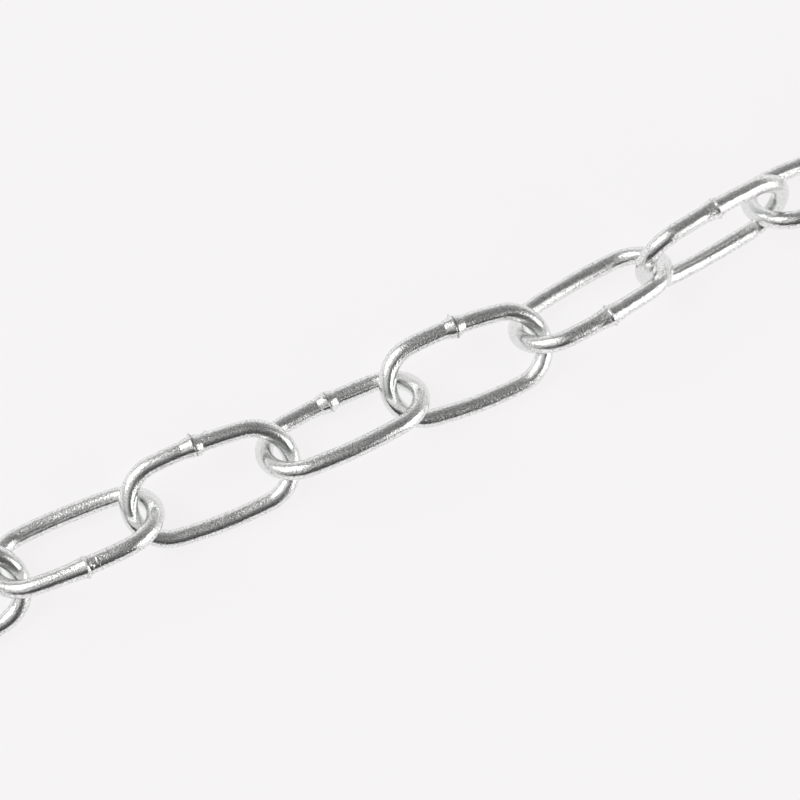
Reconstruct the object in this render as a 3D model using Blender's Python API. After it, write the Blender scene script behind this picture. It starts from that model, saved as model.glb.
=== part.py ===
"""A metre of zinc-plated steel chain, pulled out nearly straight on a level surface.

Twenty-one oval links of round wire pass through one another along +X. Each link is one closed loop
with a butt weld in the middle of one leg, where the hot ends were pushed together and left a collar.
The links lean to alternate sides: one leg of each lies on the surface at z = 0 and the other is held
up by the neighbours. Units are metres, and the origin is under the middle of the run.
"""

from collections import namedtuple
from math import atan2, cos, pi, radians, sin

import bmesh
import bpy
import numpy as np
from mathutils import Euler, Matrix, Vector

MM = 0.001

# Driving dimensions
WIRE = 6.0 * MM
LINK_LENGTH = 60.0 * MM
LINK_WIDTH = 33.0 * MM
CROWN_RADIUS = 12.7 * MM
LINK_COUNT = 21

# Neighbours are pulled taut and then slid together in steps until their round wires are GAP apart
GAP = 0.6 * MM
SLIDE_STEP = 0.02 * MM

# A hinge lies this share of the way from the crown's tip to where the neighbours come nearest, and
# its axis turns by this share of that angle, so that the links swing freely on it either way
HINGE_SHARE = 0.7
HINGE_TURN = 0.5

# The loop's centreline is four arcs: two tight crowns and two legs that bulge very slightly
HALF_LENGTH = (LINK_LENGTH - WIRE) / 2
HALF_WIDTH = (LINK_WIDTH - WIRE) / 2
CROWN_CENTRE = HALF_LENGTH - CROWN_RADIUS
LEG_RADIUS = (CROWN_CENTRE**2 + HALF_WIDTH**2 - CROWN_RADIUS**2) / (2 * (HALF_WIDTH - CROWN_RADIUS))
LEG_CENTRE = LEG_RADIUS - HALF_WIDTH
CROWN_ANGLE = atan2(LEG_CENTRE, CROWN_CENTRE)
LEG_ANGLE = pi / 2 - CROWN_ANGLE

# Facets: a nine-sided wire has a corner outside the loop and a flat inside it
WIRE_SIDES = 9
CROWN_STEPS = 11
LEG_STEPS = 3
SECTION_RADIUS = WIRE / 2 * (2 * pi / WIRE_SIDES / sin(2 * pi / WIRE_SIDES)) ** 0.5
MERGE_DISTANCE = 0.01 * MM
SHARP_ANGLE = radians(50)

# The weld's collar: distance along the leg from the weld, and the wire's thickness there over WIRE
COLLAR = (
    (-6.0 * MM, 1.00),
    (-2.4 * MM, 1.10),
    (-0.6 * MM, 1.24),
    (0.5 * MM, 1.24),
    (1.0 * MM, 1.06),
    (2.4 * MM, 1.10),
    (4.6 * MM, 1.00),
)

# How a link lies: lean raises its far (+Y) leg, turn swings its +X end to +Y, sway moves it to +Y.
# The weld is in the far leg (1) or the near one (-1), moved along the leg by weld_shift.
Lie = namedtuple("Lie", "lean turn sway weld_leg weld_shift")
UNEVEN_FIRST = 7
UNEVEN = (
    Lie(radians(-35.0), radians(-2.9), 1.6 * MM, -1, 1.3 * MM),
    Lie(radians(28.4), radians(-4.5), -0.3 * MM, 1, -0.7 * MM),
    Lie(radians(-35.6), radians(-0.6), -1.9 * MM, 1, -0.2 * MM),
    Lie(radians(29.7), radians(-5.0), -1.4 * MM, 1, 0.0 * MM),
    Lie(radians(-41.5), radians(4.6), 0.1 * MM, -1, -0.1 * MM),
    Lie(radians(75.4), radians(3.9), 1.8 * MM, 1, 0.7 * MM),
    Lie(radians(-34.0), radians(-4.0), 2.0 * MM, -1, 0.0 * MM),
)
PLAIN_LEAN = radians(31.5)

ZINC_COLOUR = (0.62, 0.63, 0.64, 1.0)
ZINC_ROUGHNESS = 0.28


def clear_scene():
    for obj in list(bpy.data.objects):
        bpy.data.objects.remove(obj, do_unlink=True)


def zinc_material(name):
    material = bpy.data.materials.new(name)
    material.use_nodes = True
    shader = material.node_tree.nodes["Principled BSDF"]
    shader.inputs["Base Color"].default_value = ZINC_COLOUR
    shader.inputs["Metallic"].default_value = 1.0
    shader.inputs["Roughness"].default_value = ZINC_ROUGHNESS
    return material


def lie_of(index):
    """How the link at this place in the run lies: unevenly in the middle, and plainly elsewhere."""
    if UNEVEN_FIRST <= index < UNEVEN_FIRST + len(UNEVEN):
        return UNEVEN[index - UNEVEN_FIRST]
    side = 1 if index % 2 == 0 else -1
    return Lie(side * PLAIN_LEAN, 0.0, 0.0, side, 0.0)


def leg_point(side, angle):
    """A point of the far (1) or near (-1) leg's centreline, by its angle from the leg's middle."""
    return Vector((-side * LEG_RADIUS * sin(angle), side * (LEG_RADIUS * cos(angle) - LEG_CENTRE), 0))


def spin_ring(bm, ring, centre, angle, steps):
    """Sweeps the open end of the wire round a centre in the loop's plane; returns the new end."""
    swept = bmesh.ops.spin(
        bm, geom=ring, cent=centre, axis=(0, 0, 1), dvec=(0, 0, 0), angle=angle, steps=steps,
        space=Matrix.Identity(4), use_merge=False, use_normal_flip=False, use_duplicate=False,
    )
    return swept["geom_last"]


def collar_stations(side, shift):
    """The collar's rings in the order of the sweep: angle from the leg's middle and thickness."""
    rings = [(-side * (shift + along) / LEG_RADIUS, swell) for along, swell in COLLAR]
    return sorted(rings)


def spin_leg(bm, ring, side, lie):
    """Sweeps one leg, in even steps, or ring by ring with the weld's collar in it."""
    centre = (0, -side * LEG_CENTRE, 0)
    if side != lie.weld_leg:
        return spin_ring(bm, ring, centre, 2 * LEG_ANGLE, LEG_STEPS)
    here, thickness = -LEG_ANGLE, 1.0
    for angle, swell in collar_stations(side, lie.weld_shift) + [(LEG_ANGLE, 1.0)]:
        ring = spin_ring(bm, ring, centre, angle - here, 1)
        bmesh.ops.scale(
            bm, vec=[swell / thickness] * 3, space=Matrix.Translation(-leg_point(side, angle)),
            verts=[v for v in ring if isinstance(v, bmesh.types.BMVert)],
        )
        here, thickness = angle, swell
    return ring


def link_mesh(name, lie):
    """One link, flat in its own XY plane, centred on the origin."""
    bm = bmesh.new()
    start = Vector((CROWN_CENTRE, 0, 0)) + CROWN_RADIUS * Vector((cos(CROWN_ANGLE), -sin(CROWN_ANGLE), 0))
    outward = (start - Vector((CROWN_CENTRE, 0, 0))).normalized()
    along = Vector((0, 0, 1)).cross(outward)
    facing = Matrix((outward.cross(along), outward, along)).transposed()
    bmesh.ops.create_circle(
        bm, cap_ends=False, segments=WIRE_SIDES, radius=SECTION_RADIUS,
        matrix=Matrix.Translation(start) @ facing.to_4x4(),
    )
    ring = bm.verts[:] + bm.edges[:]
    ring = spin_ring(bm, ring, (CROWN_CENTRE, 0, 0), 2 * CROWN_ANGLE, CROWN_STEPS)
    ring = spin_leg(bm, ring, 1, lie)
    ring = spin_ring(bm, ring, (-CROWN_CENTRE, 0, 0), 2 * CROWN_ANGLE, CROWN_STEPS)
    spin_leg(bm, ring, -1, lie)
    bmesh.ops.remove_doubles(bm, verts=bm.verts, dist=MERGE_DISTANCE)
    bmesh.ops.recalc_face_normals(bm, faces=bm.faces)
    mesh = bpy.data.meshes.new(name)
    bm.to_mesh(mesh)
    bm.free()
    mesh.shade_smooth()
    mesh.set_sharp_from_angle(angle=SHARP_ANGLE)
    return mesh


def centreline(steps=48):
    """Points along the middle of the wire, with steps to each of the four arcs."""
    crown = np.linspace(-CROWN_ANGLE, CROWN_ANGLE, steps, endpoint=False)
    leg = np.linspace(-LEG_ANGLE, LEG_ANGLE, steps, endpoint=False)
    right = np.c_[CROWN_CENTRE + CROWN_RADIUS * np.cos(crown), CROWN_RADIUS * np.sin(crown)]
    far = np.c_[-LEG_RADIUS * np.sin(leg), LEG_RADIUS * np.cos(leg) - LEG_CENTRE]
    half = np.vstack((right, far))
    flat = np.vstack((half, -half))
    return np.c_[flat, np.zeros(len(flat))]


def resting_height(mesh, lie):
    """How high the middle of a link is that lies so, with its lowest point on the surface."""
    turned = Euler((lie.lean, 0, lie.turn)).to_matrix()
    return -min((turned @ v.co).z for v in mesh.vertices)


def placed(points, lie, height):
    """Centreline points of a link that lies so, with its middle over x = 0."""
    turned = np.array(Euler((lie.lean, 0, lie.turn)).to_matrix())
    return points @ turned.T + (0, lie.sway, height)


def seat_distance(held, slid):
    """How far apart along X two neighbours' middles are: pulled taut, then eased to leave GAP."""
    held, slid = held[held[:, 0] > 0], slid[slid[:, 0] < 0]
    distance = 2 * HALF_LENGTH
    while np.linalg.norm(held[:, None] - (slid + (distance, 0, 0)), axis=2).min() < WIRE + GAP:
        distance -= SLIDE_STEP
    return distance


def run_of_links():
    """The links' objects, each lying on z = 0, before the run is centred."""
    points = centreline()
    links, held, x = [], None, 0.0
    for index in range(LINK_COUNT):
        lie = lie_of(index)
        name = f"link_{index + 1:02d}"
        mesh = link_mesh(name, lie)
        mesh.materials.append(zinc_material(f"zinc_{index + 1:02d}"))
        height = resting_height(mesh, lie)
        slid = placed(points, lie, height)
        if index:
            x += seat_distance(held, slid)
        link = bpy.data.objects.new(name, mesh)
        link.rotation_euler = (lie.lean, 0, lie.turn)
        link.location = (x, lie.sway, height)
        bpy.context.scene.collection.objects.link(link)
        links.append(link)
        held = slid
    return links


def centre_run(links):
    """Moves the run so that its box has its middle over the origin."""
    corners = [link.matrix_basis @ v.co for link in links for v in link.data.vertices]
    for axis in (0, 1):
        values = [corner[axis] for corner in corners]
        for link in links:
            link.location[axis] -= (min(values) + max(values)) / 2


def bearing_angle(held, slid):
    """How far round its crown, from the tip, the held link comes nearest to the one slid through it."""
    line = centreline()
    right, left = line[line[:, 0] > 0], line[line[:, 0] < 0]
    to_held = np.array(held.matrix_basis.inverted() @ slid.matrix_basis)
    through = left @ to_held[:3, :3].T + to_held[:3, 3]
    apart = np.linalg.norm(right[:, None] - through, axis=2).min(axis=1)
    nearest = right[apart.argmin()]
    return atan2(nearest[1], nearest[0] - CROWN_CENTRE)


def hinge_frame(held, slid):
    """The hinge in the held link's crown: its place is on the wire and its Y axis runs along it."""
    angle = HINGE_SHARE * bearing_angle(held, slid)
    on_wire = (CROWN_CENTRE + CROWN_RADIUS * cos(angle), CROWN_RADIUS * sin(angle), 0)
    turned = Matrix.Rotation(HINGE_TURN * angle, 4, "Z")
    return held.matrix_basis @ Matrix.Translation(on_wire) @ turned


def hang(child, parent):
    """Parents the child where it is; both are still where their own place and turn put them."""
    child.parent = parent
    child.matrix_parent_inverse = parent.matrix_basis.inverted()


def add_hinges(links):
    """Hangs each link on an empty in the crown of the one before; it turns on the empty's Y axis."""
    held_by = links[0]
    for held, slid in zip(links, links[1:]):
        hinge = bpy.data.objects.new(slid.name.replace("link", "hinge"), None)
        hinge.empty_display_size = WIRE
        hinge.matrix_basis = hinge_frame(held, slid)
        bpy.context.scene.collection.objects.link(hinge)
        hang(hinge, held_by)
        hang(slid, hinge)
        held_by = hinge


clear_scene()
chain = run_of_links()
centre_run(chain)
add_hinges(chain)
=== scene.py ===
"""A run of zinc-plated welded steel chain on a pale table.

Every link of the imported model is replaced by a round, finely made one that lies in the same place.
Units are metres.
"""

from collections import namedtuple
from math import cos, pi, radians, sin, tan

import bmesh
import bpy
import numpy as np
from bpy.props import FloatProperty, FloatVectorProperty, IntProperty, PointerProperty
from mathutils import Matrix, Vector


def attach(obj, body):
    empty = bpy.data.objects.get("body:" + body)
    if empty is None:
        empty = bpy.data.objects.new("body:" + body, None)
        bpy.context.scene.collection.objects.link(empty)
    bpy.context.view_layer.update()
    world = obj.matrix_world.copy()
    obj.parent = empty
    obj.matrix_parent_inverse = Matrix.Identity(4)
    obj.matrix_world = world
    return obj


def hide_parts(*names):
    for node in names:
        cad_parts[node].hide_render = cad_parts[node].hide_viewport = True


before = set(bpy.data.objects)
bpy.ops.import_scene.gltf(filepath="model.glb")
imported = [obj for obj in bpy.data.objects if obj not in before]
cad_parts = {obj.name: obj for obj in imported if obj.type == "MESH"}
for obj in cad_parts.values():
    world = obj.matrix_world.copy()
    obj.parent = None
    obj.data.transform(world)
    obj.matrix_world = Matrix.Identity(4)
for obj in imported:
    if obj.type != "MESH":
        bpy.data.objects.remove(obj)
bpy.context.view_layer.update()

bl_info = {
    "name": "Welded Steel Chain",
    "version": (1, 0, 0),
    "blender": (4, 5, 0),
    "location": "3D View > Sidebar > Chain",
    "description": "Models the links of a zinc-plated welded chain and the studio they lie in",
    "category": "Add Mesh",
}

MM = 0.001
SLOT = "zinc_plate"

# The two ends of the swept wire are joined where they lie closer than this
MERGE_DISTANCE = 0.003 * MM

# The corners of a CAD collar's top lie within this share of the wire's radius of the highest one
COLLAR_TOP = 0.04

# Each link's wire begins this far along the drawn lines' pattern from the one before, in metres
PATTERN_STEP = 0.5

# The shape of a weld's collar. As shares of the wire's radius: how far the first swell stands
# out before the joint and the second one beyond it, the lip's height and the seam's depth at the
# joint, and the small shoulder's height. Then the two swells' lengths in mm, and how sharply the
# first one steepens towards the joint (below 1 it is round instead). These links have their own.
# The others' are drawn from a seed between the limits below
Collar = namedtuple("Collar", "first second lip seam shoulder first_length second_length flare")
COLLARS = {
    "link_08": Collar(0.22, 0.04, 0.09, 0.000, 0.020, 7.0, 3.0, 1.5),
    "link_09": Collar(0.30, 0.26, 0.00, 0.040, 0.000, 4.4, 2.6, 0.9),
    "link_10": Collar(0.31, 0.24, 0.00, 0.045, 0.006, 3.4, 2.9, 0.55),
    "link_11": Collar(0.31, 0.28, 0.00, 0.045, 0.000, 3.6, 3.0, 0.8),
    "link_12": Collar(0.24, 0.14, 0.06, 0.000, 0.010, 5.5, 4.6, 1.3),
    "link_13": Collar(0.23, 0.09, 0.07, 0.000, 0.000, 5.0, 4.2, 1.3),
}
COLLAR_LIMITS = (
    (0.19, 0.29), (0.06, 0.25), (0.0, 0.07), (0.0, 0.045), (0.0, 0.02), (3.2, 6.4), (2.4, 4.4),
    (0.7, 1.5))

# How far a collar may be out of square, in radians, and the share by which its rise may swing
# either way round the wire
SKEW_LIMITS = (0.0, 0.14)
HEAVY_LIMITS = (0.05, 0.15)

# Painted shade in the corners beside a weld's lip: place and width in lip widths, and darkness for a
# lip as high as the wire's radius
LIP_CORNER_SHADE = ((-2, 0.6, 1.875), (2, 0.8, 3.125))

# Burrs left at a weld: distance along the wire from the joint in mm, direction in degrees up from
# +Y, and height in mm. The other links' burrs are drawn between the limits
BURRS = {
    "link_08": ((-0.9, 195, 0.45), (1.6, 115, 0.3)),
    "link_09": ((-0.5, 20, 0.75), (4.6, 18, 0.6), (0.9, 190, 0.4)),
    "link_10": ((-1.0, 70, 0.8), (0.9, 200, 0.45)),
    "link_11": ((-0.6, 10, 0.95), (0.3, 185, 0.45)),
    "link_12": ((0.2, 190, 0.5), (-0.3, 5, 0.3)),
    "link_13": ((-0.6, 185, 0.55), (0.5, 30, 0.25)),
}
BURR_LIMITS = ((-0.8, 0.8), (0, 360), (0.25, 0.8))
MOST_BURRS = 3

# The waves of the wire's unevenness, in half turns of the loop and in turns round the wire, and
# the factor that brings their sum to about the height asked for
LOOP_WAVES = (2, 3, 5, 8, 13)
WIRE_WAVES = (0, 1, 2)
WAVE_SHARE = 0.25

# The room's grey levels by the sine of the height above the horizon
LIGHT_WALLS = (
    (0.0, 0.98), (0.02, 0.95), (0.17, 0.76), (0.34, 0.55), (0.5, 0.40), (0.64, 0.33), (0.77, 0.30),
    (0.87, 0.25), (0.94, 0.18), (1.0, 0.13))
DARK_WALL = (
    (0.0, 0.10), (0.02, 0.03), (0.12, 0.03), (0.34, 0.07), (0.6, 0.13), (0.85, 0.13), (1.0, 0.13))

# A patch of the room round one direction: that direction from +X and from straight up, and the
# angles from it at which the patch begins and is full, in degrees
Patch = namedtuple("Patch", "azimuth zenith edge core")
BEHIND_CAMERA = Patch(-114, 72, 70, 32)
GLOW = Patch(-175, 33, 46, 14)
GLOW_COLOUR = (0.72, 0.72, 0.72)

# The soft boxes: direction in degrees as above, size in metres, and turn about their own axis
SoftBox = namedtuple("SoftBox", "name shape azimuth zenith size roll")
SOFT_BOXES = (
    SoftBox("soft_box_left", "SQUARE", 141.5, 42, 1.24, 45),
    SoftBox("soft_box_right", "DISK", -45, 66, 1.6, 0),
)


class LinkSizes(bpy.types.PropertyGroup):
    """The real sizes of one link."""

    wire: FloatProperty(
        name="Wire", description="Thickness of the drawn wire", default=6.0 * MM, unit="LENGTH")
    length: FloatProperty(
        name="Length", description="Length of a link, outside", default=60.0 * MM, unit="LENGTH")
    width: FloatProperty(
        name="Width", description="Width of a link, outside", default=33.0 * MM, unit="LENGTH")
    crown: FloatProperty(
        name="Crown radius", description="Radius of the wire's middle round each end of a link",
        default=12.7 * MM, unit="LENGTH")
    sides: IntProperty(
        name="Sides", description="Facets round the wire", default=56, min=12, max=128)
    ring_gap: FloatProperty(
        name="Ring gap", description="Distance between the rings of a plain stretch of wire",
        default=0.75 * MM, unit="LENGTH")
    joint_gap: FloatProperty(
        name="Joint ring gap", description="Distance between the rings near the joint",
        default=0.13 * MM, unit="LENGTH", precision=5)
    joint_reach: FloatProperty(
        name="Joint reach", description="How far the fine rings reach either way from the joint",
        default=5.0 * MM, unit="LENGTH")
    wander: FloatProperty(
        name="Wander", description="How far the wire's middle strays from the true oval",
        default=0.05 * MM, unit="LENGTH", precision=5)
    dents: FloatProperty(
        name="Dents", description="Depth of the shallow dents that the bending tools left",
        default=0.03 * MM, unit="LENGTH", precision=5)
    dents_sunk: FloatProperty(
        name="Dents sunk", description="How far the dented wire is sunk, in depths of a dent",
        default=1.6, min=0)
    # The rubbed stretch of each bow set here also gets the bows' painted reflection tint
    rubbed_core: FloatProperty(
        name="Rubbed core", description="Distance from a bow's tip within which it is rubbed most",
        default=2.0 * MM, unit="LENGTH")
    rubbed_reach: FloatProperty(
        name="Rubbed reach", description="Distance from a bow's tip at which the rubbing ends",
        default=11.0 * MM, unit="LENGTH")


class WeldSizes(bpy.types.PropertyGroup):
    """The upset collar of the butt weld. Rises are shares of the wire's radius."""

    lip_width: FloatProperty(
        name="Lip width", description="Half the thickness of the pinched lip at the joint",
        default=0.36 * MM, unit="LENGTH", precision=5)
    seam_width: FloatProperty(
        name="Seam width", description="Half the width of the groove at the joint",
        default=0.24 * MM, unit="LENGTH", precision=5)
    # Painted shade: darkens the seam's groove, more for a deeper seam
    seam_shade: FloatProperty(
        name="Seam shade", description="Darkness of a seam as deep as the wire's radius",
        default=17.78, min=0)
    step_reach: FloatProperty(
        name="Step reach", description="Half the length of the step between the two swells",
        default=0.2 * MM, unit="LENGTH", precision=5)
    fall_power: FloatProperty(
        name="Fall power", description="How round the second swell is where it begins",
        default=1.4, min=0)
    shoulder_at: FloatProperty(
        name="Shoulder place", description="Distance of the small shoulder beyond the joint",
        default=3.6 * MM, unit="LENGTH")
    shoulder_width: FloatProperty(
        name="Shoulder width", description="Half the width of the small shoulder",
        default=0.35 * MM, unit="LENGTH", precision=5)
    burr_width: FloatProperty(
        name="Burr width", description="Half the width of a burr", default=0.45 * MM,
        unit="LENGTH", precision=5)


class ZincFinish(bpy.types.PropertyGroup):
    """The bright zinc plate on drawn wire."""

    colour: FloatVectorProperty(
        name="Zinc", description="Colour of the plating", subtype="COLOR",
        default=(0.97, 0.975, 0.965), min=0, max=1)
    dull: FloatVectorProperty(
        name="Dull zinc", description="Colour of the duller specks", subtype="COLOR",
        default=(0.50, 0.495, 0.49), min=0, max=1)
    # Partly rubbed zinc and partly painted reflection: the paler greenish grey stands in for the
    # table mirrored in the bows
    rubbed: FloatVectorProperty(
        name="Rubbed and reflecting zinc", description="Colour of the bows where the links rub on one another",
        subtype="COLOR", default=(0.84, 0.855, 0.845), min=0, max=1)
    rubbed_mottle: FloatProperty(
        name="Rubbed mottle", description="Share of the mottle and specks left on the rubbed bows",
        default=0.45, min=0, max=1, subtype="FACTOR")
    # Colour of the painted shade in the seam and beside the lip at the joint
    crevice_shade: FloatVectorProperty(
        name="Painted shade", description="Colour of the crevices at the joint", subtype="COLOR",
        default=(0.16, 0.152, 0.145), min=0, max=1)
    roughness: FloatProperty(
        name="Roughness", description="Roughness of the bright plating", default=0.07,
        min=0, max=1, subtype="FACTOR")
    dull_roughness: FloatProperty(
        name="Dull roughness", description="Roughness of the duller specks", default=0.26,
        min=0, max=1, subtype="FACTOR")
    grain: FloatProperty(
        name="Grain", description="Size of the plating's mottle", default=0.44 * MM,
        unit="LENGTH", precision=5)
    grain_depth: FloatProperty(
        name="Grain depth", description="Depth of the mottle", default=0.09 * MM,
        unit="LENGTH", precision=6)
    speck: FloatProperty(
        name="Speck", description="Size of the duller specks", default=0.38 * MM,
        unit="LENGTH", precision=5)
    speck_start: FloatProperty(
        name="Speck start", description="Level of the noise at which a speck begins",
        default=0.44, min=0, max=1, subtype="FACTOR")
    speck_full: FloatProperty(
        name="Speck full", description="Level of the noise at which a speck is fully dull",
        default=0.70, min=0, max=1, subtype="FACTOR")
    streak: FloatProperty(
        name="Streak", description="Width of the lines that the drawing die left",
        default=0.33 * MM, unit="LENGTH", precision=5)
    streak_length: FloatProperty(
        name="Streak length", description="How many times longer than wide a drawn line is",
        default=3.5, min=1)
    streak_share: FloatProperty(
        name="Streak share", description="Depth of the drawn lines as a share of the mottle's",
        default=0.25, min=0, subtype="FACTOR")


class StudioSizes(bpy.types.PropertyGroup):
    """The table, the lights and the camera."""

    table: FloatVectorProperty(
        name="Table", description="Colour of the table's translucent top", subtype="COLOR",
        default=(0.17, 0.169, 0.17), min=0, max=1)
    glow: FloatVectorProperty(
        name="Table glow", description="Light that comes up through the table", subtype="COLOR",
        default=(0.80, 0.787, 0.795), min=0, max=1)
    table_radius: FloatProperty(
        name="Table radius", description="How far the table reaches", default=30.0, unit="LENGTH")
    box_distance: FloatProperty(
        name="Soft box distance", description="From the chain to a soft box", default=1.6,
        unit="LENGTH")
    box_power: FloatProperty(
        name="Soft box power", description="Power of a square metre of soft box, in watts",
        default=4.9, unit="POWER")
    lens: FloatProperty(
        name="Lens", description="Focal length on a 36 mm wide frame, in millimetres",
        default=85.0, unit="CAMERA")
    distance: FloatProperty(
        name="Camera distance", description="From the aim on the table to the camera",
        default=0.621, unit="LENGTH")
    zenith: FloatProperty(
        name="Camera tilt", description="Angle of the view from straight down",
        default=radians(16.89), subtype="ANGLE")
    azimuth: FloatProperty(
        name="Camera side", description="Direction from the aim to the camera, from +X",
        default=radians(-122.05), subtype="ANGLE")
    roll: FloatProperty(
        name="Camera roll", description="Turn of the camera about its view",
        default=radians(5.42), subtype="ANGLE")
    aim: FloatVectorProperty(
        name="Aim", description="The spot on the table at the middle of the picture",
        default=(-23.77 * MM, 0.22 * MM, 0.0), subtype="TRANSLATION")


class Oval:
    """The four arcs of a link's middle line, worked out from its sizes.

    The far leg is the one at +Y. Distances round the loop start at the middle of the far leg and
    grow towards +X; round the wire, 0 is outwards in the loop's plane and a quarter turn is +Z.
    """

    def __init__(self, sizes):
        self.radius = sizes.wire / 2
        self.crown = sizes.crown
        half_length = (sizes.length - sizes.wire) / 2
        half_width = (sizes.width - sizes.wire) / 2
        self.crown_x = half_length - self.crown
        self.leg = (self.crown_x**2 + half_width**2 - self.crown**2) / (
            2 * (half_width - self.crown))
        self.leg_y = self.leg - half_width
        self.crown_angle = np.arctan2(self.leg_y, self.crown_x)
        self.leg_angle = pi / 2 - self.crown_angle
        self.half_round = 2 * (self.crown * self.crown_angle + self.leg * self.leg_angle)

    def wire_places(self, points):
        """Distance round the loop, angle round the wire and the way out of the wire, per point."""
        x, y, z = points.T
        side, far = np.where(x < 0, -1, 1), np.where(y < 0, -1, 1)
        crown_turn = np.arctan2(y, np.abs(x) - self.crown_x)
        leg_turn = np.arctan2(np.abs(x), np.abs(y) + self.leg_y)
        on_crown = np.abs(crown_turn) < self.crown_angle
        far_leg, near_leg = self.leg * leg_turn, self.half_round - self.leg * leg_turn
        crown = self.half_round / 2 - self.crown * crown_turn
        round_loop = side * np.where(on_crown, crown, np.where(far > 0, far_leg, near_leg))
        centre_x = np.where(on_crown, side * self.crown_x, 0)
        centre_y = np.where(on_crown, 0, -far * self.leg_y)
        outward = np.column_stack((x - centre_x, y - centre_y))
        reach = np.hypot(*outward.T)
        outward /= reach[:, None]
        flank = reach - np.where(on_crown, self.crown, self.leg)
        around = np.arctan2(z, flank)
        way_out = np.column_stack((outward * np.cos(around)[:, None], np.sin(around)))
        return round_loop, around, way_out


def node_corners(name):
    """The corners of a CAD node, each once, as rows."""
    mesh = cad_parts[name].data
    corners = np.empty(3 * len(mesh.vertices), dtype=np.float32)
    mesh.vertices.foreach_get("co", corners)
    return np.unique(corners.reshape(-1, 3).astype(float).round(7), axis=0)


def middle_and_axes(points):
    """The middle of points, and their own axes as rows.

    The first row runs along them (+X), the second across and the third out of their plane (+Z).
    """
    middle = points.mean(axis=0)
    rows = np.linalg.svd(points - middle, full_matrices=False)[2]
    along = rows[0] * np.sign(rows[0][0])
    out = rows[2] * np.sign(rows[2][2])
    return middle, np.array((along, np.cross(out, along), out))


def lie_of(name, oval):
    """A CAD link's matrix, its welded leg (1 far, -1 near) and the weld's place there."""
    corners = node_corners(name)
    middle, axes = middle_and_axes(corners)
    in_crowns = np.abs((corners - middle) @ axes[0]) > oval.crown_x
    middle, axes = middle_and_axes(corners[in_crowns])
    local = (corners - middle) @ axes.T
    legs = local[~in_crowns]
    flank = np.hypot(legs[:, 0], np.abs(legs[:, 1]) + oval.leg_y) - oval.leg
    away = np.hypot(flank, legs[:, 2])
    collar = legs[away > away.max() - COLLAR_TOP * oval.radius]
    place = Matrix.Translation(middle) @ Matrix(axes.T.tolist()).to_4x4()
    return place, 1 if collar[:, 1].mean() > 0 else -1, collar[:, 0].mean()


def spin_ring(bm, ring, centre, angle, steps):
    """Sweeps the open end of the wire round a centre in the loop's plane; returns the new end."""
    swept = bmesh.ops.spin(
        bm, geom=ring, cent=centre, axis=(0, 0, 1), dvec=(0, 0, 0), angle=angle,
        steps=max(1, round(steps)), space=Matrix.Identity(4),
        use_merge=False, use_normal_flip=False, use_duplicate=False)
    return swept["geom_last"]


def plain_wire(oval, sizes):
    """The round wire, swept once round the oval from the far leg's middle, finely near it."""
    bm = bmesh.new()
    start = Vector((0, oval.leg - oval.leg_y, 0))
    bmesh.ops.create_circle(
        bm, cap_ends=False, segments=sizes.sides, radius=oval.radius,
        matrix=Matrix.Translation(start) @ Matrix.Rotation(pi / 2, 4, "Y"))
    far, near = (0, -oval.leg_y, 0), (0, oval.leg_y, 0)
    left, right = (-oval.crown_x, 0, 0), (oval.crown_x, 0, 0)
    half_leg = oval.leg * oval.leg_angle
    stretches = (
        (far, oval.leg, sizes.joint_reach, sizes.joint_gap),
        (far, oval.leg, half_leg - sizes.joint_reach, sizes.ring_gap),
        (left, oval.crown, 2 * oval.crown * oval.crown_angle, sizes.ring_gap),
        (near, oval.leg, 2 * half_leg, sizes.ring_gap),
        (right, oval.crown, 2 * oval.crown * oval.crown_angle, sizes.ring_gap),
        (far, oval.leg, half_leg - sizes.joint_reach, sizes.ring_gap),
        (far, oval.leg, sizes.joint_reach, sizes.joint_gap),
    )
    ring = bm.verts[:] + bm.edges[:]
    for centre, radius, length, gap in stretches:
        ring = spin_ring(bm, ring, centre, length / radius, length / gap)
    bmesh.ops.remove_doubles(bm, verts=bm.verts, dist=MERGE_DISTANCE)
    bmesh.ops.recalc_face_normals(bm, faces=bm.faces)
    mesh = bpy.data.meshes.new("plain_wire")
    bm.to_mesh(mesh)
    bm.free()
    return mesh


def slide_rings(points, oval, weld_x):
    """Turns the far leg's rings about its centre, so that the finest lie at the link's joint."""
    middle, reach = np.array((0, -oval.leg_y)), oval.leg * oval.leg_angle
    flat = points[:, :2] - middle
    from_joint = np.abs(oval.leg * np.arctan2(flat[:, 0], flat[:, 1]))
    turn = -weld_x / oval.leg * np.clip(1 - from_joint / reach, 0, 1) * (points[:, 1] > 0)
    turned = np.column_stack((
        flat[:, 0] * np.cos(turn) - flat[:, 1] * np.sin(turn),
        flat[:, 0] * np.sin(turn) + flat[:, 1] * np.cos(turn)))
    points[:, :2] = turned + middle


def stepped(along, start, end):
    """0 before the start, 1 after the end and a smooth rise between."""
    share = np.clip((along - start) / (end - start), 0, 1)
    return share * share * (3 - 2 * share)


def ridge(along, place, width):
    """A ridge of height 1 across the wire at a place."""
    return np.exp(-(((along - place) / width) ** 2))


def collar_rise(along, collar, sizes):
    """How far the weld's collar stands out along the wire, as a share of the wire's radius."""
    swell = collar.first * np.clip(1 + along / (collar.first_length * MM), 0, 1) ** collar.flare
    fallen = np.clip(along / (collar.second_length * MM), 0, 1) ** sizes.fall_power
    fall = collar.second * (1 - fallen)
    beyond = stepped(along, -sizes.step_reach, sizes.step_reach)
    return (
        swell * (1 - beyond) + fall * beyond
        + collar.lip * ridge(along, 0, sizes.lip_width)
        + collar.shoulder * ridge(along, sizes.shoulder_at, sizes.shoulder_width)
        - collar.seam * ridge(along, 0, sizes.seam_width))


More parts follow.
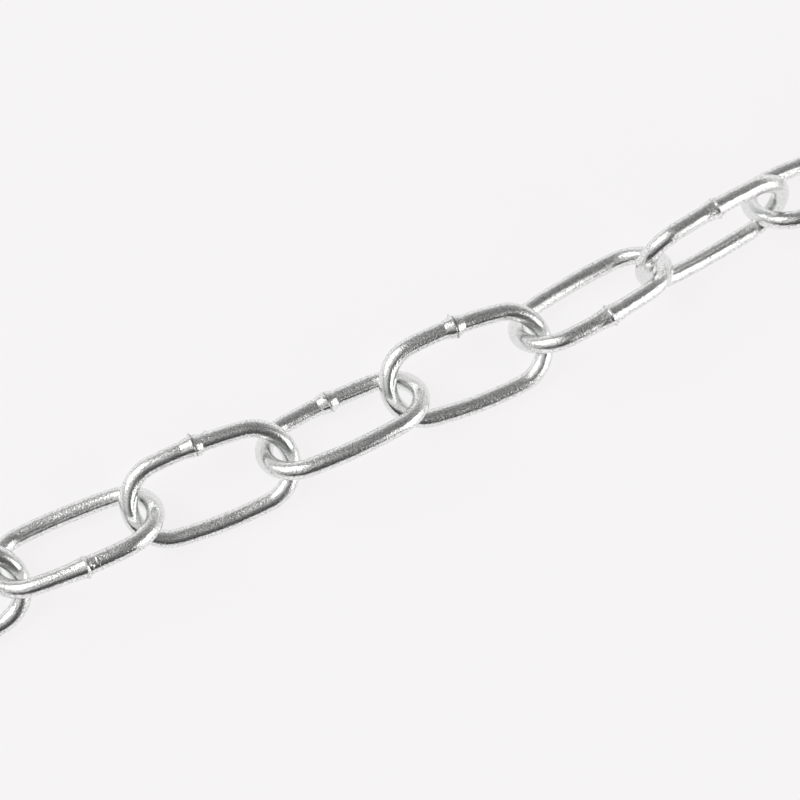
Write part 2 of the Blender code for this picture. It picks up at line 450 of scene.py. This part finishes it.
def painted_joint_shade(along, collar, sizes):
    """Painted shade in a weld's crevices: how dark its seam and the two corners beside its lip are
    made.
    """
    seam = sizes.seam_shade * ridge(along, 0, sizes.seam_width)
    corners = sum(
        dark * ridge(along, place * sizes.lip_width, width * sizes.lip_width)
        for place, width, dark in LIP_CORNER_SHADE)
    return np.clip(collar.seam * seam + collar.lip * corners, 0, 1)


def rubbing(round_loop, oval, sizes):
    """How much the links have rubbed each place, which also places the bows' painted reflection
    tint: 1 at the bows' tips and 0 on the legs.
    """
    from_tip = np.abs((round_loop / oval.half_round) % 1 - 0.5) * oval.half_round
    return 1 - stepped(from_tip, sizes.rubbed_core, sizes.rubbed_reach)


def burr_rise(along, around, radius, width, place, angle, height):
    """How far one burr stands out."""
    turn = (around - angle + pi) % (2 * pi) - pi
    reach = ((along - place) / width) ** 2 + (turn * radius / width) ** 2
    return height * np.exp(-reach)


def ripple(draw, round_loop, around, oval, height):
    """A smooth random unevenness over the wire that closes on itself."""
    total = np.zeros_like(round_loop)
    for waves in LOOP_WAVES:
        for turns in WIRE_WAVES:
            strength = draw.normal()
            phase, swing = draw.uniform(0, 2 * pi), draw.uniform(0, 2 * pi)
            total += (
                strength * np.sin(pi * waves * round_loop / oval.half_round + phase)
                * np.cos(turns * around + swing))
    return height * total * WAVE_SHARE


def burrs_of(name, place, draw):
    """A link's burrs as distance, angle round the far leg's wire, and height."""
    drawn = [
        [draw.uniform(*limits) for limits in BURR_LIMITS]
        for _ in range(draw.integers(1, MOST_BURRS + 1))
    ]
    turned = place.to_3x3().inverted()
    burrs = []
    for along, up_angle, height in BURRS.get(name, drawn):
        way = turned @ Vector((0, cos(radians(up_angle)), sin(radians(up_angle))))
        burrs.append((along * MM, np.arctan2(way.z, way.y), height * MM))
    return burrs


def shape_wire(mesh, name, oval, place, weld_x, seed):
    """Raises the weld's collar and burrs on the plain wire and makes it a little uneven."""
    sizes, weld = bpy.context.scene.chain_link, bpy.context.scene.chain_weld
    draw = np.random.default_rng(seed)
    points = np.empty(3 * len(mesh.vertices))
    mesh.vertices.foreach_get("co", points)
    points = points.reshape(-1, 3)
    slide_rings(points, oval, weld_x)
    round_loop, around, way_out = oval.wire_places(points)
    along = round_loop - weld_x
    drawn = Collar(*[draw.uniform(*limits) for limits in COLLAR_LIMITS])
    skew, skew_side = draw.uniform(*SKEW_LIMITS), draw.uniform(0, 2 * pi)
    heavy, heavy_side = draw.uniform(*HEAVY_LIMITS), draw.uniform(0, 2 * pi)
    skewed = along + tan(skew) * oval.radius * np.cos(around - skew_side)
    collar = COLLARS.get(name, drawn)
    rise = collar_rise(skewed, collar, weld)
    rise = oval.radius * rise * (1 - heavy + heavy * np.cos(around - heavy_side))
    for burr in burrs_of(name, place, draw):
        rise += burr_rise(skewed, around, oval.radius, weld.burr_width, *burr)
    rise += ripple(draw, round_loop, around, oval, sizes.dents) - sizes.dents_sunk * sizes.dents
    points += way_out * rise[:, None]
    for axis in (1, 2):
        points[:, axis] += ripple(draw, round_loop, np.zeros_like(around), oval, sizes.wander)
    mesh.vertices.foreach_set("co", points.ravel())
    # Painted shade in the weld's seam and the corners beside its lip
    store_values(mesh, "painted_joint_shade", painted_joint_shade(skewed, collar, weld))
    # Marks the rubbed bows, which get less mottle and a painted reflection tint
    store_values(mesh, "rubbed_and_reflecting_bow", rubbing(round_loop, oval, sizes))
    store_wire_places(mesh, along % (2 * oval.half_round), around, oval, seed)


def store_values(mesh, name, values):
    """Keeps a value for each corner of the mesh, for the finish to use."""
    attribute = mesh.attributes.new(name, "FLOAT", "POINT")
    attribute.data.foreach_set("value", values)


def store_wire_places(mesh, along, around, oval, seed):
    """Keeps each face corner's place on the straightened wire, for a pattern that follows it."""
    spots = np.empty(len(mesh.loops), dtype=np.int32)
    mesh.loops.foreach_get("vertex_index", spots)
    quads = along[spots].reshape(-1, 4)
    across_joint = np.ptp(quads, axis=1) > oval.half_round
    quads[across_joint] += np.where(
        quads[across_joint] < oval.half_round, 2 * oval.half_round, 0)
    turn = around[spots]
    rows = np.column_stack((
        quads.ravel() + seed * PATTERN_STEP,
        oval.radius * np.cos(turn), oval.radius * np.sin(turn)))
    attribute = mesh.attributes.new("wire_place", "FLOAT_VECTOR", "CORNER")
    attribute.data.foreach_set("vector", rows.ravel())


def link_object(name, plain, oval, seed):
    """One finished link, resting on the table where the CAD link does."""
    place, weld_leg, weld_x = lie_of(name, oval)
    if weld_leg < 0:
        place = place @ Matrix.Rotation(pi, 4, "X")
    mesh = plain.copy()
    mesh.name = f"wire_{name}"
    shape_wire(mesh, name, oval, place, weld_x, seed)
    mesh.transform(place)
    lowest = min(v.co.z for v in mesh.vertices)
    mesh.transform(Matrix.Translation((0, 0, -lowest)))
    mesh.shade_smooth()
    link = bpy.data.objects.new(f"plated_{name}", mesh)
    bpy.context.scene.collection.objects.link(link)
    return link


def node(tree, kind, label, **inputs):
    """Adds a shader node and sets its inputs by name."""
    made = tree.nodes.new(kind)
    made.label = label
    for key, value in inputs.items():
        made.inputs[key.replace("_", " ")].default_value = value
    return made


def stored(tree, label, name):
    """A node that reads what the mesh keeps under a name."""
    made = node(tree, "ShaderNodeAttribute", label)
    made.attribute_name = name
    return made


def mixed(tree, label, factor, first, second):
    """Mixes two colours, given as values or as sockets, by a factor socket."""
    mix = node(tree, "ShaderNodeMix", label)
    mix.data_type = "RGBA"
    sockets = {socket.identifier: socket for socket in mix.inputs}
    tree.links.new(factor, sockets["Factor_Float"])
    for identifier, colour in (("A_Color", first), ("B_Color", second)):
        if isinstance(colour, bpy.types.NodeSocket):
            tree.links.new(colour, sockets[identifier])
        else:
            sockets[identifier].default_value = (*colour, 1)
    return next(socket for socket in mix.outputs if socket.identifier == "Result_Color")


def ranged(tree, label, value, low, high, to_low, to_high):
    """Maps a value's range to another, held at its ends."""
    made = node(tree, "ShaderNodeMapRange", label, From_Min=low, From_Max=high,
                To_Min=to_low, To_Max=to_high)
    tree.links.new(value, made.inputs["Value"])
    return made.outputs["Result"]


def product(tree, label, first, second):
    """The product of two values."""
    made = node(tree, "ShaderNodeMath", label)
    made.operation = "MULTIPLY"
    tree.links.new(first, made.inputs[0])
    tree.links.new(second, made.inputs[1])
    return made.outputs[0]


def zinc_material():
    """Bright zinc on drawn wire: a fine mottle, faint lines along the wire and duller specks.

    The bows are smoother, with less mottle, because the links rub on one another there; their colour
    is partly rubbed zinc and partly a painted reflection of the table. The weld's seam and the
    corners beside its lip get painted shade.
    """
    finish = bpy.context.scene.chain_zinc
    material = bpy.data.materials.new(SLOT)
    material.use_nodes = True
    tree = material.node_tree
    shader = tree.nodes["Principled BSDF"]
    shader.inputs["Metallic"].default_value = 1.0
    place = node(tree, "ShaderNodeTexCoord", "Place")
    wire = stored(tree, "Place on the wire", "wire_place")
    squeeze = node(tree, "ShaderNodeMapping", "Long lines")
    squeeze.inputs["Scale"].default_value = (1 / finish.streak_length, 1, 1)
    tree.links.new(wire.outputs["Vector"], squeeze.inputs["Vector"])
    grain = node(tree, "ShaderNodeTexNoise", "Mottle", Scale=1 / finish.grain, Detail=1.5,
                 Roughness=0.6)
    tree.links.new(place.outputs["Object"], grain.inputs["Vector"])
    streaks = node(tree, "ShaderNodeTexNoise", "Drawn lines", Scale=1 / finish.streak, Detail=1.0,
                   Roughness=0.5)
    tree.links.new(squeeze.outputs["Vector"], streaks.inputs["Vector"])
    relief = node(tree, "ShaderNodeMath", "Mottle and lines")
    relief.operation = "MULTIPLY_ADD"
    relief.inputs[1].default_value = finish.streak_share
    tree.links.new(streaks.outputs["Fac"], relief.inputs[0])
    tree.links.new(grain.outputs["Fac"], relief.inputs[2])
    speckle = node(tree, "ShaderNodeTexNoise", "Speckle", Scale=1 / finish.speck, Detail=0.5,
                   Roughness=0.5)
    tree.links.new(place.outputs["Object"], speckle.inputs["Vector"])
    speckled = ranged(
        tree, "Specks", speckle.outputs["Fac"], finish.speck_start, finish.speck_full, 0, 1)
    # The bows' mask: less mottle where the links rub, and a painted reflection tint in the colour
    rubbed = stored(tree, "Rubbed and reflecting bow", "rubbed_and_reflecting_bow")
    share_left = ranged(tree, "Mottle left", rubbed.outputs["Fac"], 0, 1, 1, finish.rubbed_mottle)
    specks = product(tree, "Specks left", speckled, share_left)
    # Painted reflection: the bows' colour is a greenish grey standing in for the mirrored table
    zinc_with_bow_reflection = mixed(tree, "Zinc with painted reflection", rubbed.outputs["Fac"], finish.colour, finish.rubbed)
    zinc = mixed(tree, "Zinc", specks, zinc_with_bow_reflection, finish.dull)
    # Painted shade darkens the joint's seam and the corners beside its lip
    crevice_shade = stored(tree, "Dirt at the joint", "painted_joint_shade")
    tree.links.new(
        mixed(tree, "Joint with painted shade", crevice_shade.outputs["Fac"], zinc, finish.crevice_shade),
        shader.inputs["Base Color"])
    tree.links.new(
        ranged(tree, "Dullness", specks, 0, 1, finish.roughness, finish.dull_roughness),
        shader.inputs["Roughness"])
    bump = node(tree, "ShaderNodeBump", "Uneven plating", Distance=finish.grain_depth)
    tree.links.new(share_left, bump.inputs["Strength"])
    tree.links.new(relief.outputs[0], bump.inputs["Height"])
    tree.links.new(bump.outputs["Normal"], shader.inputs["Normal"])
    return material


class CHAIN_OT_links(bpy.types.Operator):
    """Model every link of the run with its weld and its zinc finish"""

    bl_idname = "chain.links"
    bl_label = "Model the Links"

    def execute(self, context):
        sizes = context.scene.chain_link
        oval = Oval(sizes)
        plain = plain_wire(oval, sizes)
        zinc = zinc_material()
        for seed, name in enumerate(sorted(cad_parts), start=1):
            link = link_object(name, plain, oval, seed)
            link.data.materials.append(zinc)
            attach(link, name)
            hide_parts(name)
        return {"FINISHED"}


def add_table(studio):
    """A wide pale table, level with the bottom of the chain."""
    bm = bmesh.new()
    bmesh.ops.create_circle(bm, cap_ends=True, segments=48, radius=studio.table_radius)
    mesh = bpy.data.meshes.new("table")
    bm.to_mesh(mesh)
    bm.free()
    material = bpy.data.materials.new("pale_table")
    material.use_nodes = True
    shader = material.node_tree.nodes["Principled BSDF"]
    shader.inputs["Base Color"].default_value = (*studio.table, 1)
    shader.inputs["Roughness"].default_value = 0.9
    shader.inputs["Specular IOR Level"].default_value = 0.0
    shader.inputs["Emission Color"].default_value = (*studio.glow, 1)
    shader.inputs["Emission Strength"].default_value = 1.0
    mesh.materials.append(material)
    table = bpy.data.objects.new("table", mesh)
    bpy.context.scene.collection.objects.link(table)


def direction(azimuth, zenith):
    """A unit vector from its direction round Z and its angle from straight up."""
    return Vector((sin(zenith) * cos(azimuth), sin(zenith) * sin(azimuth), cos(zenith)))


def add_soft_box(box, studio):
    """A soft box that shines at the origin from its direction, turned about its own axis."""
    light = bpy.data.lights.new(box.name, "AREA")
    light.shape = box.shape
    light.size = box.size
    light.energy = studio.box_power * box.size**2 * (pi / 4 if box.shape == "DISK" else 1)
    hung = bpy.data.objects.new(box.name, light)
    toward = direction(radians(box.azimuth), radians(box.zenith))
    hung.location = studio.box_distance * toward
    turn = Matrix.Rotation(radians(box.roll), 3, "Z")
    hung.rotation_euler = (toward.to_track_quat("Z", "Y").to_matrix() @ turn).to_euler()
    hung.visible_camera = False
    bpy.context.scene.collection.objects.link(hung)


def brightness_by_height(tree, height, label, stops):
    """Grey levels by the sine of the height above the horizon."""
    ramp = node(tree, "ShaderNodeValToRGB", label)
    elements = ramp.color_ramp.elements
    while len(elements) < len(stops):
        elements.new(0.5)
    for element, (place, level) in zip(elements, stops):
        element.position = place
        element.color = (level, level, level, 1)
    tree.links.new(height, ramp.inputs["Fac"])
    return ramp.outputs["Color"]


def nearness(tree, looking, label, patch):
    """0 outside a patch of the room and 1 in its core, by the direction looked in."""
    dot = node(tree, "ShaderNodeVectorMath", label)
    dot.operation = "DOT_PRODUCT"
    dot.inputs[1].default_value = direction(radians(patch.azimuth), radians(patch.zenith))
    tree.links.new(looking, dot.inputs[0])
    spread = node(tree, "ShaderNodeMapRange", label, From_Min=cos(radians(patch.edge)),
                  From_Max=cos(radians(patch.core)))
    spread.interpolation_type = "SMOOTHSTEP"
    tree.links.new(dot.outputs["Value"], spread.inputs["Value"])
    return spread.outputs["Result"]


def light_walls():
    """The room: dim overhead, lighter walls, a dark side behind the camera, a glow at the left."""
    world = bpy.data.worlds.new("room")
    world.use_nodes = True
    tree = world.node_tree
    looking = node(tree, "ShaderNodeTexCoord", "Direction").outputs["Generated"]
    split = node(tree, "ShaderNodeSeparateXYZ", "Height")
    tree.links.new(looking, split.inputs["Vector"])
    height = split.outputs["Z"]
    light = brightness_by_height(tree, height, "Light walls", LIGHT_WALLS)
    dark = brightness_by_height(tree, height, "Dark wall", DARK_WALL)
    behind = nearness(tree, looking, "Behind the camera", BEHIND_CAMERA)
    glow = nearness(tree, looking, "Glow", GLOW)
    room = mixed(tree, "Room", behind, light, dark)
    lit = mixed(tree, "Lit room", glow, room, GLOW_COLOUR)
    tree.links.new(lit, tree.nodes["Background"].inputs["Color"])
    bpy.context.scene.world = world


def add_camera(studio):
    """The camera over the chain, at the photograph's angle."""
    back = direction(studio.azimuth, studio.zenith)
    right = Vector((0, 0, 1)).cross(back).normalized()
    turned = Matrix((right, back.cross(right), back)).transposed() @ Matrix.Rotation(
        studio.roll, 3, "Z")
    camera = bpy.data.cameras.new("camera")
    camera.lens = studio.lens
    camera.sensor_width = 36.0
    camera.clip_start = 0.01
    seen_from = bpy.data.objects.new("camera", camera)
    seen_from.matrix_world = Matrix.Translation(
        Vector(studio.aim) + studio.distance * back) @ turned.to_4x4()
    bpy.context.scene.collection.objects.link(seen_from)
    bpy.context.scene.camera = seen_from


class CHAIN_OT_studio(bpy.types.Operator):
    """Set up the table, the lights and the camera"""

    bl_idname = "chain.studio"
    bl_label = "Set Up the Studio"

    def execute(self, context):
        studio = context.scene.chain_studio
        add_table(studio)
        for box in SOFT_BOXES:
            add_soft_box(box, studio)
        light_walls()
        add_camera(studio)
        context.scene.view_settings.view_transform = "Standard"
        return {"FINISHED"}


class CHAIN_PT_sidebar(bpy.types.Panel):
    """The chain's tools and sizes"""

    bl_idname = "CHAIN_PT_sidebar"
    bl_label = "Welded Chain"
    bl_space_type = "VIEW_3D"
    bl_region_type = "UI"
    bl_category = "Chain"

    def draw(self, context):
        for operator in OPERATORS:
            self.layout.operator(operator.bl_idname)
        for name in GROUPS:
            box = self.layout.box()
            group = getattr(context.scene, name)
            for key in group.bl_rna.properties.keys():
                if key not in ("rna_type", "name"):
                    box.prop(group, key)


GROUPS = {
    "chain_link": LinkSizes,
    "chain_weld": WeldSizes,
    "chain_zinc": ZincFinish,
    "chain_studio": StudioSizes,
}
OPERATORS = (CHAIN_OT_studio, CHAIN_OT_links)


def register():
    """Adds the sizes, the operators and the sidebar."""
    for cls in (*GROUPS.values(), *OPERATORS, CHAIN_PT_sidebar):
        bpy.utils.register_class(cls)
    for name, cls in GROUPS.items():
        setattr(bpy.types.Scene, name, PointerProperty(type=cls))


def unregister():
    """Takes them away again."""
    for name in GROUPS:
        delattr(bpy.types.Scene, name)
    for cls in (CHAIN_PT_sidebar, *reversed(OPERATORS), *reversed(GROUPS.values())):
        bpy.utils.unregister_class(cls)


def main():
    """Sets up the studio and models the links."""
    register()
    bpy.ops.chain.studio()
    bpy.ops.chain.links()


if __name__ == "__main__":
    main()
